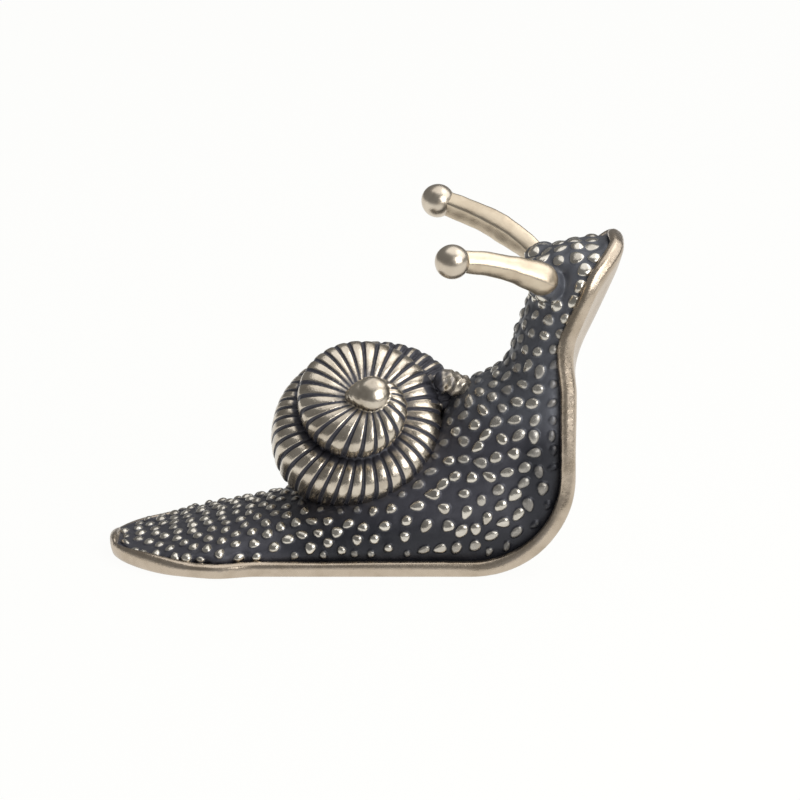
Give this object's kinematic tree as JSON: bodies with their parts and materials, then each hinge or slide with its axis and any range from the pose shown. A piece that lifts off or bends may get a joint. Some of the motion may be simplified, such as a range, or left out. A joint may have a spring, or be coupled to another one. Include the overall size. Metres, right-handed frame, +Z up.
{
  "type": "snail figurine",
  "caption": "Small cast brass snail ornament with a raised head, ball-tipped stalks, a ribbed coiled shell and a pebbled body on a polished-rim sole.",
  "frame": {"origin": "middle of the bounding box, on the surface that the sole rests on", "axes": "+X from the tail to the head, +Y to the snail's left, +Z up"},
  "size_m": [0.041, 0.018, 0.0286],
  "materials": {
    "polished_brass": "hand-polished brass, satin to bright",
    "patina_brass": "blackened brass with the raised pebbles polished back",
    "shell_brass": "polished ribs with blackened grooves"
  },
  "bodies": {
    "root": {"foot_plate": "polished_brass", "body": "patina_brass", "shell": "shell_brass", "shell_peg": "polished_brass", "right_stalk": "polished_brass", "left_stalk": "polished_brass", "right_eye": "polished_brass", "left_eye": "polished_brass"}
  },
  "joints": []
}
